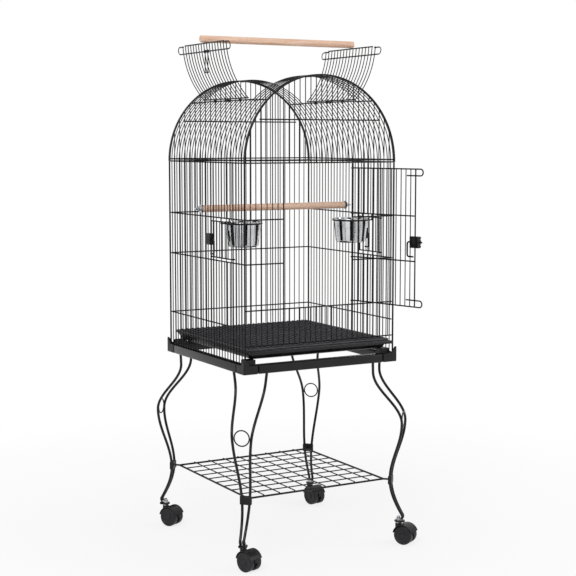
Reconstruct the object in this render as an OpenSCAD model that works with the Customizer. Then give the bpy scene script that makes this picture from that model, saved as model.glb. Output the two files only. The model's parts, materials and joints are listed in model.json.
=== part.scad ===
// Dome top parrot cage on a rolling stand.
// Front is -Y, left is -X, the floor is Z = 0 and the origin is under the middle of the cage.

/* [Cage walls] */
// Width and depth of the cage, post centre to post centre
cage_w = 430; // [390:1:480]
// Height of the walls, from the stand to the spring of the dome
wall_h = 491; // [460:1:540]
// Gaps between bars along one wall
bar_gaps = 28; // [26:1:30]
// Diameter of the bars
bar_d = 2.4; // [2.2:0.1:2.8]
// Diameter of the cross rods and frame rods
rod_d = 3.4; // [3:0.1:3.8]
// Diameter of the corner posts
post_d = 4.4; // [4:0.1:5]
// How far a cross rod sinks into the bars at a weld
weld_sink = 0.7; // [0.5:0.1:0.9]
// Height of the low cross rod above the stand
low_rod_h = 87; // [75:1:110]
// Height of the rod under the feeder doors above the stand
feeder_sill_h = 246; // [235:1:255]
// Height of the rod over the feeder doors above the stand
feeder_head_h = 354; // [345:1:362]
// Height of the slot for the tray and the grate above the stand
slot_h = 44; // [43:1:48]
// Height of the sill of the main door above the stand
door_sill_h = 133; // [120:1:150]

/* [Dome] */
// Height of the dome's base rod above the top rod of the walls
dome_rod_rise = 6; // [5:0.5:8]
// Height of the cross rod in the end arches above the walls
arch_rod_h = 105; // [90:1:120]
// Full arcs in each end band of the dome
band_arcs = 5; // [4:1:5]
// Angle up the dome of the flap hinges
hinge_angle = 46; // [42:1:50]
// Angle up the dome of the flap's free edge
edge_angle = 88.5; // [87:0.5:88.5]
// How far the flaps stand open
flap_open = 92; // [80:1:100]
// How far the flaps lie outside the dome
flap_proud = 1.5; // [1.2:0.1:2]
// Width of the lip, rod to rod
lip_back = 18; // [14:1:22]
// Distance from the flap's free edge to the near side of the lip
lip_set = 2.5; // [2:0.5:4]
// Length of the flap hook
hook_len = 52; // [40:1:60]

/* [Doors] */
// How far the main door stands open
door_open = 105; // [0:1:130]
// Gap between a hinge loop and its rod
hinge_gap = 0.4; // [0.3:0.05:0.5]
// Reach of the main door's end hooks past its free edge
hook_reach = 25; // [15:1:30]
// Bend radius of the end hooks
hook_r = 8; // [6:0.5:9]
// Length of the end hooks' return legs
hook_return = 42; // [30:1:50]
// Length of a latch body along the door
latch_l = 26; // [22:1:30]
// Height of a latch body
latch_h = 28; // [24:1:32]
// Thickness of a latch body
latch_t = 13; // [12:0.5:16]
// Diameter of a latch bolt
bolt_d = 4; // [3.5:0.1:4.5]
// Gap round a latch bolt
bolt_gap = 0.3; // [0.2:0.05:0.4]
// Drop of a latch bolt's finger pull
pull_drop = 30; // [24:1:36]

/* [Perches and cups] */
// Diameter of the perches
perch_d = 18; // [15:0.5:20]
// Height of the inner perch above the walls' foot
perch_h = 372; // [368:1:400]
// Distance of the inner perch behind the middle
perch_back = 23; // [0:1:60]
// Overhang of the top perch past the flaps
perch_over = 9; // [5:1:15]
// Diameter of the perch bolts
perch_bolt_d = 6; // [5:0.5:7]
// Diameter of the perch washers
washer_d = 22; // [18:1:26]
// Diameter of a feeder cup at its rim
cup_d = 90; // [80:1:96]
// Diameter of a feeder cup at its foot
cup_foot_d = 78; // [70:1:84]
// Height of a feeder cup
cup_h = 63; // [50:1:70]
// Wall of a feeder cup
cup_wall = 1.2; // [1:0.1:1.6]
// Height of the cup's rim above the walls' foot
cup_top_h = 344; // [335:1:348]

/* [Tray and grate] */
// Width of the tray
tray_w = 412; // [404:1:414]
// Height of the ledges that carry the tray above the stand
tray_seat_h = 12; // [10:1:13]
// Height of the tray
tray_h = 22; // [18:1:23]
// Wall of the tray
tray_wall = 2.5; // [2:0.1:3]
// Slope of the tray's walls, from rim to foot
tray_draft = 14; // [8:1:15]
// Width of the tray's front lip
tray_lip = 14; // [10:1:18]
// Gaps between the grate's bars
grate_gaps = 26; // [20:1:28]

/* [Stand] */
// Height of the top of the stand
stand_h = 502; // [470:1:540]
// Width of a rail
rail_w = 24; // [22:1:26]
// Height of a rail
rail_t = 22; // [18:1:26]
// Wall of a rail's tube
rail_wall = 1.5; // [1.2:0.1:2]
// How far the rails stand outside the walls
rail_out = 8; // [7:0.5:9]
// Length of the arms of a corner cap
cap_arm = 40; // [34:1:50]
// Rise of a corner cap above the rails
cap_rise = 17; // [12:1:22]
// Diameter of the leg rods
leg_d = 7; // [6:0.5:8]
// Distance from a corner to a leg rod's top end
leg_inset = 60; // [50:1:70]
// Height of the leg's outward bulge
bulge_z = 322; // [300:1:340]
// Reach of the bulge past the corner, along the diagonal
bulge_out = 31; // [20:1:40]
// Reach of the foot past the corner, along the diagonal
foot_out = 37; // [30:1:45]
// Half distance between the two rods at the foot
foot_split = 4.6; // [4.2:0.1:6]
// Height of the ring between the rods
ring_z = 329; // [310:1:345]
// Diameter of the ring's wire
ring_wire = 3.4; // [3:0.2:4]
// Height of the shelf
shelf_z = 167; // [150:1:185]
// Distance from the shelf's edge to the walls' plane
shelf_inset = 15; // [12:1:25]
// Gaps between the shelf's wires
shelf_gaps = 9; // [7:1:10]
// Diameter of the shelf's rim
shelf_rim_d = 5; // [4:0.5:6]

/* [Casters] */
// Diameter of a wheel
wheel_d = 50; // [44:1:54]
// Width of one wheel
wheel_w = 15; // [13:0.5:17]
// Gap between the two wheels
wheel_gap = 10; // [9:0.5:12]
// Distance from the swivel to the axle
trail = 20; // [18:0.5:22]
// Diameter of the axle
axle_d = 6; // [5:0.5:7]
// Diameter of the swivel stem
stem_d = 8; // [7:0.5:9]
// Running gap round the axle and the stem
run_gap = 0.05; // [0.03:0.01:0.08]
// Directions the casters trail in: front left, front right, back right, back left
caster_yaw = [-74, -60, -80, -62];

/* [Hidden] */
$fn = 24;
round_fn = 64;

black = [0.07, 0.07, 0.08];
plastic = [0.10, 0.10, 0.11];
steel = [0.75, 0.76, 0.78];
beech = [0.85, 0.67, 0.52];

// Levels and places that several pieces share
seat = 0.3;
half = cage_w / 2;
pitch = cage_w / bar_gaps;
lap = (bar_d + rod_d) / 2 - weld_sink;
spring_z = stand_h + wall_h;
low_z = stand_h + low_rod_h;
sill_z = stand_h + feeder_sill_h;
head_z = stand_h + feeder_head_h;
slot_z = stand_h + slot_h + rod_d / 2;
door_sill_z = stand_h + door_sill_h;
foot_rod_z = stand_h + rod_d / 2 + seat;
dome_rod_z = spring_z + dome_rod_rise;
post_clear = post_d / 2 + seat;
wall_end = half - post_clear;
side_end = half - lap - rod_d / 2 - seat;
rod_clear = rod_d / 2 + seat;

// Bars are counted from the left post of the front, and from the back post of the left wall
door_left = round(bar_gaps / 4);
door_right = round(bar_gaps * 0.715);
feeder_back = round(bar_gaps * 0.61);
feeder_front = round(bar_gaps * 0.857);
function bar_u(i) = -half + i * pitch;

// A straight round wire from p to q
module wire(p, q, d = bar_d) {
    v = q - p;
    len = norm(v);
    translate(p)
        rotate([0, acos(v.z / len), atan2(v.y, v.x)])
            cylinder(h = len, d = d);
}

// A round wire bent to an arc in the XZ plane, with angles from +X towards +Z
module arc_wire(r, from, to, d = bar_d) {
    rotate([90, 0, 0])
        rotate([0, 0, from])
            rotate_extrude(angle = to - from, $fn = round_fn)
                translate([r, 0])
                    circle(d = d, $fn = 24);
}

// Upright bars from the first to the last index
module bars(first, last, z0, z1) {
    for (i = [first:last])
        wire([bar_u(i), 0, z0], [bar_u(i), 0, z1]);
}

// Cross rods at the given heights, welded to the inside of the bars
module cross_rods(levels, u0, u1) {
    for (z = levels)
        wire([u0, lap, z], [u1, lap, z], rod_d);
}

// Turns a wall drawn in the XZ plane, with its inside at +Y, into each wall of the cage
module on_front() {
    translate([0, -half, 0])
        children();
}
module on_back() {
    rotate([0, 0, 180])
        on_front()
            children();
}
module on_left() {
    rotate([0, 0, -90])
        on_front()
            children();
}
module to_right() {
    mirror([1, 0, 0])
        children();
}

// Stand
rail_outer = half + rail_out;
rail_inner = rail_outer - rail_w;
rail_z = stand_h - rail_t;
rail_end = rail_outer - cap_arm - seat;

module stand_rails() {
    color(black)
        for (turn = [0:90:270])
            rotate([0, 0, turn])
                translate([-rail_end, -rail_outer, rail_z])
                    difference() {
                        cube([2 * rail_end, rail_w, rail_t]);
                        translate([-1, rail_wall, rail_wall])
                            cube([2 * rail_end + 2, rail_w - 2 * rail_wall, rail_t - 2 * rail_wall]);
                    }
}

// An L of the rails' section, with a gusset that rises on both outer faces and a ledge for the tray
module corner_caps() {
    gusset_t = rail_out - post_d / 2 - seat - 1;
    gusset_l = rail_outer - tray_half - seat;
    ledge_in = rail_outer - side_end + 2 * seat;
    ledge_w = cap_arm - ledge_in;
    ledge_root = 5;
    color(plastic)
        for (turn = [0:90:270])
            rotate([0, 0, turn])
                translate([-rail_outer, -rail_outer, rail_z]) {
                    cube([cap_arm, rail_w, rail_t]);
                    cube([rail_w, cap_arm, rail_t]);
                    translate([ledge_in, ledge_in, rail_t - ledge_root])
                        cube([ledge_w, ledge_w, tray_seat_h + ledge_root]);
                    gusset(gusset_l, gusset_t);
                    mirror([1, -1, 0])
                        gusset(gusset_l, gusset_t);
                }
}

// Stands on the arm and the rail, short enough to leave the tray's way out free
module gusset(l, t) {
    translate([0, t, 0])
        rotate([90, 0, 0])
            linear_extrude(t)
                polygon([[0, rail_t], [l, rail_t], [t, rail_t + cap_rise], [0, rail_t + cap_rise]]);
}

// A leg runs in its own frame: X outwards along the diagonal, Y across it
corner_r = half * sqrt(2);
leg_top_r = corner_r - leg_inset / sqrt(2);
leg_top_split = leg_inset / sqrt(2);
leg_top_z = rail_z - seat;
neck_drop = 25;
neck_z = rail_z - neck_drop;
plate_t = 4;
plate_gap = 10;
plate_top = wheel_d + plate_gap;
leg_foot_z = plate_top + leg_d / 3;
waist_z = shelf_z;
waist_in = 2;
waist_r = corner_r - waist_in;
bulge_r = corner_r + bulge_out;
foot_r = corner_r + foot_out;
leg_rings_n = 30;
leg_sides = 8;
split_power = 1.4;

function ease(s) = (1 - cos(180 * s)) / 2;
function mix(a, b, s) = a + (b - a) * s;
function leg_reach(z) =
    z > neck_z ? leg_top_r
    : z > bulge_z ? mix(leg_top_r, bulge_r, ease((neck_z - z) / (neck_z - bulge_z)))
    : z > waist_z ? mix(bulge_r, waist_r, ease((bulge_z - z) / (bulge_z - waist_z)))
    : mix(waist_r, foot_r, 1 - cos(90 * (waist_z - z) / (waist_z - leg_foot_z)));
function leg_split(z) =
    mix(foot_split, leg_top_split, pow(max(z - leg_foot_z, 0) / (leg_top_z - leg_foot_z), split_power));
function leg_point(s) =
    let (z = mix(leg_top_z, leg_foot_z, s))
    [leg_reach(z), leg_split(z), z];
function unit(v) = v / norm(v);

// A tube of one polyhedron along a list of points, with its ends cut level at the top
module swept_tube(path, d, sides) {
    n = len(path);
    function along(i) =
        i == 0 ? [0, 0, -1] : unit(path[min(i + 1, n - 1)] - path[i - 1]);
    points = [
        for (i = [0:n - 1])
            let (t = along(i), a = unit(cross([0, 1, 0], t)), b = cross(t, a))
            for (k = [0:sides - 1])
                path[i] + d / 2 * (cos(360 * k / sides) * a + sin(360 * k / sides) * b)
    ];
    walls = [
        for (i = [0:n - 2], k = [0:sides - 1], half_face = [0, 1])
            let (p = i * sides + k, q = i * sides + (k + 1) % sides)
            half_face == 0 ? [p, q, q + sides] : [p, q + sides, p + sides]
    ];
    caps = [
        for (k = [1:sides - 2], end = [0, 1])
            end == 0 ? [0, k + 1, k] : [(n - 1) * sides, (n - 1) * sides + k, (n - 1) * sides + k + 1]
    ];
    polyhedron(points, concat(walls, caps));
}

module leg(turn) {
    path = [for (i = [0:leg_rings_n]) leg_point(i / leg_rings_n)];
    color(black)
        rotate([0, 0, turn])
            for (side = [0, 1])
                mirror([0, side, 0])
                    swept_tube(path, leg_d, leg_sides);
}

module leg_front_left() { leg(-135); }
module leg_front_right() { leg(-45); }
module leg_back_right() { leg(45); }
module leg_back_left() { leg(135); }

module leg_rings() {
    ring_r = leg_split(ring_z) - leg_d / 2 - ring_wire / 2 - seat;
    color(black)
        for (turn = [45:90:315])
            rotate([0, 0, turn])
                translate([leg_reach(ring_z), 0, ring_z])
                    rotate([0, 90, 0])
                        rotate_extrude($fn = round_fn)
                            translate([ring_r, 0])
                                circle(d = ring_wire);
}

// A moulded clip that grips both rods of a leg where the shelf meets it
band_t = leg_d + 5;
band_h = 22;
module leg_bands() {
    band_w = 2 * leg_split(shelf_z) + leg_d + 4;
    color(plastic)
        for (turn = [45:90:315])
            rotate([0, 0, turn])
                translate([leg_reach(shelf_z) - band_t / 2, -band_w / 2, shelf_z - band_h / 2])
                    cube([band_t, band_w, band_h]);
}

// Foot plates carry the caster stems, inside the ends of the rods
stem_r = foot_r - 17;
plate_w = 22;
module foot_plates() {
    color(black)
        for (turn = [45:90:315])
            rotate([0, 0, turn])
                difference() {
                    translate([0, 0, plate_top - plate_t])
                        linear_extrude(plate_t) {
                            translate([stem_r, 0])
                                circle(d = plate_w, $fn = 48);
                            translate([stem_r, -plate_w / 2])
                                square([foot_r + leg_d - stem_r, plate_w]);
                        }
                    translate([stem_r, 0, plate_top - plate_t - 1])
                        cylinder(h = plate_t + 2, d = stem_d + 2 * seat);
                }
}

// Shelf of welded wires, with a tongue at each corner that meets the leg's clip
shelf_wire_d = 3;
module shelf() {
    edge = half - shelf_inset;
    gap = 2 * edge / shelf_gaps;
    sink = (shelf_rim_d + shelf_wire_d) / 2 - weld_sink;
    tongue_r = leg_reach(shelf_z) - band_t / 2 - seat;
    color(black) {
        for (turn = [0:90:270])
            rotate([0, 0, turn]) {
                wire([-edge, -edge, shelf_z], [edge, -edge, shelf_z], shelf_rim_d);
                translate([-edge, -edge, shelf_z])
                    sphere(d = shelf_rim_d);
                rotate([0, 0, 45])
                    wire([edge * sqrt(2), 0, shelf_z], [tongue_r, 0, shelf_z], shelf_rim_d);
            }
        for (i = [1:shelf_gaps - 1]) {
            wire([-edge + i * gap, -edge, shelf_z + sink], [-edge + i * gap, edge, shelf_z + sink], shelf_wire_d);
            wire([-edge, -edge + i * gap, shelf_z + sink - shelf_wire_d + weld_sink],
                 [edge, -edge + i * gap, shelf_z + sink - shelf_wire_d + weld_sink], shelf_wire_d);
        }
    }
}

// Casters: a fixed stem, a hood that swivels on it and twin wheels on one axle
axle_z = wheel_d / 2;
boss_top = plate_top - plate_t - 4;
boss_bottom = axle_z + 16;
fender_gap = 1;
fender_t = 2.2;
fender_r = wheel_d / 2 + fender_gap + fender_t;
nut_h = 6;
nut_d = 14;

module caster_stems() {
    color(steel)
        for (turn = [-135, -45, 45, 135])
            rotate([0, 0, turn])
                translate([stem_r, 0, 0]) {
                    translate([0, 0, boss_bottom + 1])
                        cylinder(h = plate_top + nut_h + 4 - boss_bottom, d = stem_d);
                    translate([0, 0, boss_top + seat])
                        cylinder(h = plate_top - plate_t - boss_top - 2 * seat, d = stem_d + 5);
                    translate([0, 0, plate_top + seat])
                        cylinder(h = nut_h, d = nut_d, $fn = 6);
                }
}

// Places a caster drawn with its swivel on the Z axis and its axle along Y
module at_caster(i) {
    rotate([0, 0, -135 + 90 * i])
        translate([stem_r, 0, 0])
            rotate([0, 0, 135 - 90 * i + caster_yaw[i]])
                children();
}

// The web between the wheels: a half disc under the fender, with a hub round the axle
web_w = wheel_gap - 1;
module hood_web() {
    hub_r = 0.3 * wheel_d;
    translate([0, 0, -web_w / 2])
        linear_extrude(web_w) {
            intersection() {
                circle(r = fender_r - fender_t / 2, $fn = round_fn);
                translate([-fender_r, 0])
                    square([2 * fender_r, fender_r]);
            }
            circle(r = hub_r, $fn = round_fn);
        }
}

// The fender over both wheels, from just above the axle in front to just above it behind
module hood_fender() {
    fender_w = 2 * wheel_w + wheel_gap - 2;
    rotate([0, 0, 20])
        rotate_extrude(angle = 150, $fn = round_fn)
            translate([fender_r - fender_t, -fender_w / 2])
                square([fender_t, fender_w]);
}

module caster_hood(i) {
    color(plastic)
        at_caster(i)
            difference() {
                union() {
                    translate([trail, 0, axle_z])
                        rotate([90, 0, 0]) {
                            hood_fender();
                            hood_web();
                        }
                    translate([0, 0, boss_bottom])
                        cylinder(h = boss_top - boss_bottom, d = stem_d + 9);
                }
                translate([0, 0, boss_bottom + 0.5])
                    cylinder(h = wheel_d, d = stem_d + 2 * run_gap);
                translate([trail, 0, axle_z])
                    rotate([90, 0, 0]) {
                        cylinder(h = wheel_d, d = axle_d + 2 * run_gap, center = true);
                        for (side = [0, 1])
                            mirror([0, 0, side])
                                translate([0, 0, (web_w + wheel_gap) / 4])
                                    cylinder(h = wheel_w, r = wheel_d / 2 + fender_gap / 2, $fn = round_fn);
                    }
            }
}

// One wheel's section: a tread with rounded shoulders and a dished outer face
module wheel_profile() {
    shoulder = 3;
    dish = 3;
    polygon([
        [0, 0], [wheel_d / 2, 0], [wheel_d / 2, wheel_w - shoulder], [wheel_d / 2 - shoulder, wheel_w],
        [wheel_d / 3, wheel_w], [wheel_d / 3 - dish, wheel_w - dish], [0, wheel_w - dish]
    ]);
}

module caster_wheels(i) {
    color(plastic)
        at_caster(i)
            translate([trail, 0, axle_z])
                rotate([90, 0, 0]) {
                    cylinder(h = wheel_gap + 2, d = axle_d, center = true);
                    for (side = [0, 1])
                        mirror([0, 0, side])
                            translate([0, 0, wheel_gap / 2])
                                rotate_extrude($fn = round_fn)
                                    wheel_profile();
                }
}

module caster_hood_front_left() { caster_hood(0); }
module caster_hood_front_right() { caster_hood(1); }
module caster_hood_back_right() { caster_hood(2); }
module caster_hood_back_left() { caster_hood(3); }
module caster_wheels_front_left() { caster_wheels(0); }
module caster_wheels_front_right() { caster_wheels(1); }
module caster_wheels_back_right() { caster_wheels(2); }
module caster_wheels_back_left() { caster_wheels(3); }

// Walls
module corner_posts() {
    color(black)
        for (x = [-half, half], y = [-half, half])
            wire([x, y, stand_h + seat], [x, y, spring_z - seat], post_d);
}

// Heights where one grille's bars stop and the next one's start
top_stop = spring_z - rod_d / 2 - seat;
front_levels = [slot_z, door_sill_z, sill_z, head_z];
arch_foot = spring_z - rod_d / 2;

module front_left_grille() {
    color(black)
        on_front() {
            bars(1, door_left - 1, slot_z - rod_d / 2, top_stop);
            wire([bar_u(door_left), 0, slot_z - rod_d / 2], [bar_u(door_left), 0, top_stop], rod_d);
            cross_rods(front_levels, -wall_end, bar_u(door_left));
        }
}

module front_right_grille() {
    color(black)
        on_front() {
            bars(door_right + 1, bar_gaps - 1, slot_z - rod_d / 2, top_stop);
            wire([bar_u(door_right), 0, slot_z - rod_d / 2], [bar_u(door_right), 0, top_stop], rod_d);
            cross_rods(front_levels, bar_u(door_right), wall_end);
        }
}

module front_lower_grille() {
    u0 = bar_u(door_left) + rod_clear;
    u1 = bar_u(door_right) - rod_clear;
    color(black)
        on_front() {
            bars(door_left + 1, door_right - 1, slot_z - rod_d / 2, door_sill_z + rod_d / 2);
            cross_rods([slot_z, door_sill_z], u0, u1);
        }
}

// Height of the dome's arch over the walls at a bar
function arch_h(u) = sqrt(max(half * half - u * u, 0));

// Bars, rods and bent edge rod of an end arch, from the walls' top rod up
module arch_grille(bar_foot, levels) {
    for (i = [1:bar_gaps - 1])
        wire([bar_u(i), 0, bar_foot], [bar_u(i), 0, spring_z + arch_h(bar_u(i))]);
    cross_rods(levels, -wall_end, wall_end);
    cross_rods([spring_z + arch_rod_h], -arch_rod_end, arch_rod_end);
    translate([0, 0, spring_z])
        arc_wire(half, 0, 180, rod_d);
}
arch_rod_end = arch_h(arch_rod_h) - pitch;

module front_arch() {
    color(black)
        on_front()
            arch_grille(arch_foot, [spring_z, dome_rod_z]);
}

module back_grille() {
    color(black)
        on_back()
            arch_grille(stand_h + seat, [foot_rod_z, low_z, sill_z, head_z, spring_z, dome_rod_z]);
}

side_levels = [foot_rod_z, low_z, sill_z, head_z, spring_z];
side_top = spring_z + rod_d / 2;

module left_wall_back() {
    u = bar_u(feeder_back);
    color(black)
        on_left() {
            bars(1, feeder_back - 1, stand_h + seat, side_top);
            wire([u, 0, stand_h + seat], [u, 0, side_top], rod_d);
            cross_rods(side_levels, -side_end, u);
        }
}

module left_wall_front() {
    u = bar_u(feeder_front);
    color(black)
        on_left() {
            bars(feeder_front + 1, bar_gaps - 1, stand_h + seat, side_top);
            wire([u, 0, stand_h + seat], [u, 0, side_top], rod_d);
            cross_rods(side_levels, u, side_end);
        }
}

feeder_u0 = bar_u(feeder_back) + rod_clear;
feeder_u1 = bar_u(feeder_front) - rod_clear;

module left_wall_upper() {
    color(black)
        on_left() {
            bars(feeder_back + 1, feeder_front - 1, head_z - rod_d / 2, side_top);
            cross_rods([head_z, spring_z], feeder_u0, feeder_u1);
        }
}

module left_wall_lower() {
    color(black)
        on_left() {
            bars(feeder_back + 1, feeder_front - 1, stand_h + seat, sill_z + rod_d / 2);
            cross_rods([foot_rod_z, low_z, sill_z], feeder_u0, feeder_u1);
        }
}

module right_wall_back() { to_right() left_wall_back(); }
module right_wall_front() { to_right() left_wall_front(); }
module right_wall_upper() { to_right() left_wall_upper(); }
module right_wall_lower() { to_right() left_wall_lower(); }

// Dome
arc_foot = asin(rod_clear / half);
band_last = bar_u(band_arcs);
vault_first = band_arcs + 1;
vault_last = bar_gaps - band_arcs - 1;
inner_r = half - lap;

// A cross rod along the dome at an angle from +X, on the inside of the arcs
module dome_rod(angle, y0, y1, r = inner_r) {
    x = r * cos(angle);
    z = spring_z + r * sin(angle);
    wire([x, y0, z], [x, y1, z], rod_d);
}

base_angle = asin(dome_rod_rise / half);

module front_band() {
    y0 = -half + rod_clear;
    y1 = band_last + bar_d / 2;
    color(black) {
        for (i = [1:band_arcs])
            translate([0, bar_u(i), spring_z])
                arc_wire(half, arc_foot, 180 - arc_foot);
        for (a = [hinge_angle, 90, 180 - hinge_angle])
            dome_rod(a, y0, y1);
        for (a = [base_angle, 180 - base_angle])
            dome_rod(a, -side_end, y1);
    }
}

module back_band() {
    rotate([0, 0, 180])
        front_band();
}

hinge_x = -half * cos(hinge_angle);
hinge_z = spring_z + half * sin(hinge_angle);
hinge_end = -band_last - bar_d / 2 - seat;
vault_mid = hinge_angle / 2;

module left_vault() {
    color(black) {
        for (i = [vault_first:vault_last])
            translate([0, bar_u(i), spring_z])
                arc_wire(half, 180 - hinge_angle, 180 - arc_foot);
        dome_rod(180 - hinge_angle, -hinge_end, hinge_end, half);
        for (a = [base_angle, vault_mid])
            dome_rod(180 - a, -hinge_end + rod_d, hinge_end - rod_d);
    }
}

module right_vault() {
    to_right()
        left_vault();
}

// Flaps close on the dome's circle and swing out about the vault's top rods
flap_r = half + flap_proud;
flap_foot_angle = hinge_angle + 2;
loop_r = rod_d / 2 + hinge_gap + bar_d / 2;
loop_bars = [vault_first + 3, floor(bar_gaps / 2) - 1, floor(bar_gaps / 2), vault_last - 4];
lip_r = flap_r + (bar_d + rod_d) / 2 - weld_sink;
lip_bend = lip_back / 2;
lip_mid = edge_angle - asin((lip_bend + lip_set) / lip_r);
lip_half = bar_u(vault_last + 1);
lip_end = bar_u(vault_last) - pitch / 2;

// A point on the closed flap, at a radius and an angle up the left side
function flap_at(r, a) = [-r * cos(a), 0, spring_z + r * sin(a)];

module flap_closed() {
    for (i = [vault_first:vault_last])
        translate([0, bar_u(i), spring_z])
            arc_wire(flap_r, 180 - edge_angle, 180 - flap_foot_angle);
    flap_rod(flap_foot_angle, bar_u(vault_last));
    flap_rod(edge_angle, bar_u(vault_last - 1) + bar_d);
    for (i = loop_bars)
        translate([hinge_x, bar_u(i + 0.5), hinge_z]) {
            rotate([90, 0, 0])
                rotate_extrude($fn = 32)
                    translate([loop_r, 0])
                        circle(d = bar_d);
            flap_tie();
        }
    lip();
}

// A rod across the flap's bars at an angle, as far as y on both sides
module flap_rod(angle, y) {
    spot = flap_at(flap_r, angle);
    wire(spot - [0, y, 0], spot + [0, y, 0], rod_d);
}

// A short tie from a hinge loop to the flap's foot rod
module flap_tie() {
    foot = flap_at(flap_r, flap_foot_angle) - [hinge_x, 0, hinge_z];
    wire(loop_r * unit(foot), foot, bar_d);
}

// The lip: a rod behind the free edge whose ends bend round and come back along the edge
module lip() {
    translate([0, 0, spring_z])
        rotate([0, lip_mid - 90, 0])
            translate([0, 0, lip_r]) {
                wire([-lip_bend, -lip_half, 0], [-lip_bend, lip_half, 0], rod_d);
                for (turn = [0, 180])
                    rotate([0, 0, turn])
                        lip_end_bend(turn == 0 ? 1 : -1);
            }
}

// One end of the lip on the +Y side, with its return leg towards the flap's edge
module lip_end_bend(edge_side) {
    translate([0, lip_half, 0])
        rotate_extrude(angle = 180, $fn = round_fn)
            translate([lip_bend, 0])
                circle(d = bar_d);
    wire([edge_side * lip_bend, lip_end, 0], [edge_side * lip_bend, lip_half, 0], rod_d);
}

module left_flap() {
    color(black)
        translate([hinge_x, 0, hinge_z])
            rotate([0, -flap_open, 0])
                translate([-hinge_x, 0, -hinge_z])
                    flap_closed();
}

module right_flap() {
    to_right()
        left_flap();
}

// Turns a point of the closed left flap to where it stands open
function opened(p) =
    let (dx = p.x - hinge_x, dz = p.z - hinge_z)
    [hinge_x + dx * cos(flap_open) - dz * sin(flap_open), p.y, hinge_z + dx * sin(flap_open) + dz * cos(flap_open)];

// A wire hook that hangs from the left flap's lip and ties the closed flaps together
module flap_hook() {
    lip_spot = opened(flap_at(lip_r, lip_mid) + lip_bend * [-sin(lip_mid), 0, -cos(lip_mid)]);
    eye_r = rod_d / 2 + hinge_gap + bar_d / 2;
    spread = pitch / 2;
    color(black)
        translate(lip_spot + [0, bar_u(round(bar_gaps / 2) - 1), 0]) {
            for (y = [-spread, spread])
                translate([0, y, 0]) {
                    rotate([90, 0, 0])
                        rotate_extrude($fn = 32)
                            translate([eye_r, 0])
                                circle(d = bar_d);
                    wire([0, 0, -eye_r], [0, 0, -hook_len]);
                }
            wire([0, -spread - bar_d, -hook_len], [0, spread + bar_d, -hook_len], rod_d);
        }
}

// Perches
edge_open = opened(flap_at(flap_r, edge_angle));
top_perch_z = edge_open.z + rod_d / 2 + seat + perch_d / 2;

module dowel(x0, x1) {
    chamfer = 1.5;
    translate([x0, 0, 0])
        rotate([0, 90, 0])
            rotate_extrude($fn = round_fn)
                polygon([
                    [0, 0], [perch_d / 2 - chamfer, 0], [perch_d / 2, chamfer],
                    [perch_d / 2, x1 - x0 - chamfer], [perch_d / 2 - chamfer, x1 - x0], [0, x1 - x0]
                ]);
}

module top_perch() {
    color(beech)
        translate([0, 0, top_perch_z])
            dowel(edge_open.x - perch_over, -edge_open.x + perch_over);
}

inner_perch_z = stand_h + perch_h;
perch_bar = round(bar_gaps / 2 - perch_back / pitch - 0.5) + 0.5;
inner_perch_y = -bar_u(perch_bar);
inner_perch_end = half - bar_d / 2 - seat;

module inner_perch() {
    color(beech)
        translate([0, inner_perch_y, inner_perch_z])
            dowel(-inner_perch_end, inner_perch_end);
}

// A bolt, a washer and a wing nut that hold each end of the inner perch to the bars
module perch_bolts() {
    washer_t = 1.6;
    wing = [3, 26, 9];
    color(steel)
        for (side = [0, 1])
            mirror([side, 0, 0])
                translate([-inner_perch_end - seat, inner_perch_y, inner_perch_z])
                    rotate([0, -90, 0]) {
                        cylinder(h = bar_d + 2 * seat + 14, d = perch_bolt_d);
                        translate([0, 0, bar_d + seat])
                            cylinder(h = washer_t, d = washer_d);
                        translate([0, 0, bar_d + seat + washer_t])
                            cylinder(h = 6, d = perch_bolt_d + 5);
                        translate([-wing.x / 2, -wing.y / 2, bar_d + seat + washer_t + 1])
                            cube(wing);
                    }
}

// Doors hang in their own frame: hinge rod on the Z axis, the door along -X, outside at -Y
door_off = rod_d + hinge_gap;
bar_y = -door_off - lap;

module hinge_loop(z) {
    translate([0, 0, z])
        rotate([0, 0, -90])
            rotate_extrude(angle = 300, $fn = 48)
                translate([door_off, 0])
                    circle(d = rod_d);
}

module gate(width, gaps, levels, z0, z1) {
    for (z = levels) {
        hinge_loop(z);
        wire([0, -door_off, z], [-width, -door_off, z], rod_d);
    }
    for (i = [1:gaps])
        wire([-width * i / gaps, bar_y, z0], [-width * i / gaps, bar_y, z1], i == gaps ? rod_d : bar_d);
}

main_w = bar_u(door_right) - bar_u(door_left);
main_gaps = door_right - door_left;
main_top = spring_z - 14;
main_bottom = door_sill_z + 10;
main_levels = [main_bottom, sill_z + 8, head_z + 10, main_top];

// Places the main door where it stands open
module at_main_door() {
    translate([bar_u(door_right), -half, 0])
        rotate([0, 0, door_open])
            children();
}

// The end of a door's rod, carried past the free edge and bent back
module end_hook(turn) {
    translate([-main_w, -door_off, 0]) {
        wire([0, 0, 0], [-hook_reach + hook_r, 0, 0], rod_d);
        translate([-hook_reach + hook_r, 0, turn * hook_r])
            rotate([90, 0, 0])
                rotate([0, 0, 90])
                    rotate_extrude(angle = 180, $fn = 48)
                        translate([hook_r, 0])
                            circle(d = rod_d);
        wire([-hook_reach + hook_r, 0, 2 * turn * hook_r],
             [-hook_reach + hook_r + hook_return, 0, 2 * turn * hook_r], rod_d);
    }
}

module main_door() {
    color(black)
        at_main_door() {
            gate(main_w, main_gaps, main_levels, main_bottom - rod_d / 2, main_top + rod_d / 2);
            translate([0, 0, main_top])
                end_hook(-1);
            translate([0, 0, main_bottom])
                end_hook(1);
        }
}

// A moulded latch body on the outside of a door's free edge, bored for its bolt
latch_y = bar_y - rod_d / 2 - seat - latch_t;
bolt_y = latch_y + latch_t / 2;

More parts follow.
